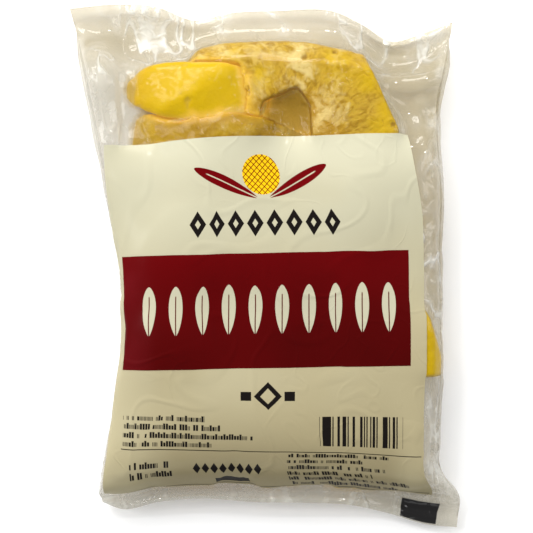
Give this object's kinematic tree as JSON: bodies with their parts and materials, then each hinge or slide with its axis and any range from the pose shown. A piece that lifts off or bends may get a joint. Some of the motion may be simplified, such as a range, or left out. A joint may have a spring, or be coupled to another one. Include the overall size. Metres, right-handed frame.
{
  "type": "bag of frozen breadfruit",
  "caption": "Sealed clear film pouch with a printed front panel, filled with peeled and cored pieces of frozen breadfruit, lying on its back.",
  "frame": {"origin": "middle of the pack's bounding box, on the surface that it rests on", "axes": "+X across the pack to the right as seen from the printed side, +Y towards its top edge, +Z out of its printed front"},
  "size_m": [0.2262, 0.3026, 0.0439],
  "materials": {
    "clear_film": "clear, slightly milky, glossy film",
    "cream_print": "opaque cream ink under glossy film",
    "maroon_print": "opaque maroon ink under glossy film",
    "breadfruit": "moist frozen fruit flesh"
  },
  "bodies": {
    "root": {"film_front": "clear_film", "film_back": "clear_film", "print_panel": "cream_print", "print_band": "maroon_print", "wedge_top_left": "breadfruit", "wedge_upper_middle": "breadfruit", "half_slice_top": "breadfruit", "quarter_slice_right": "breadfruit", "quarter_slice_middle_left": "breadfruit", "quarter_slice_middle": "breadfruit", "wedge_right": "breadfruit", "quarter_slice_lower_middle": "breadfruit", "wedge_left": "breadfruit", "quarter_slice_bottom_left": "breadfruit", "quarter_slice_bottom": "breadfruit", "quarter_slice_bottom_right": "breadfruit"}
  },
  "joints": []
}
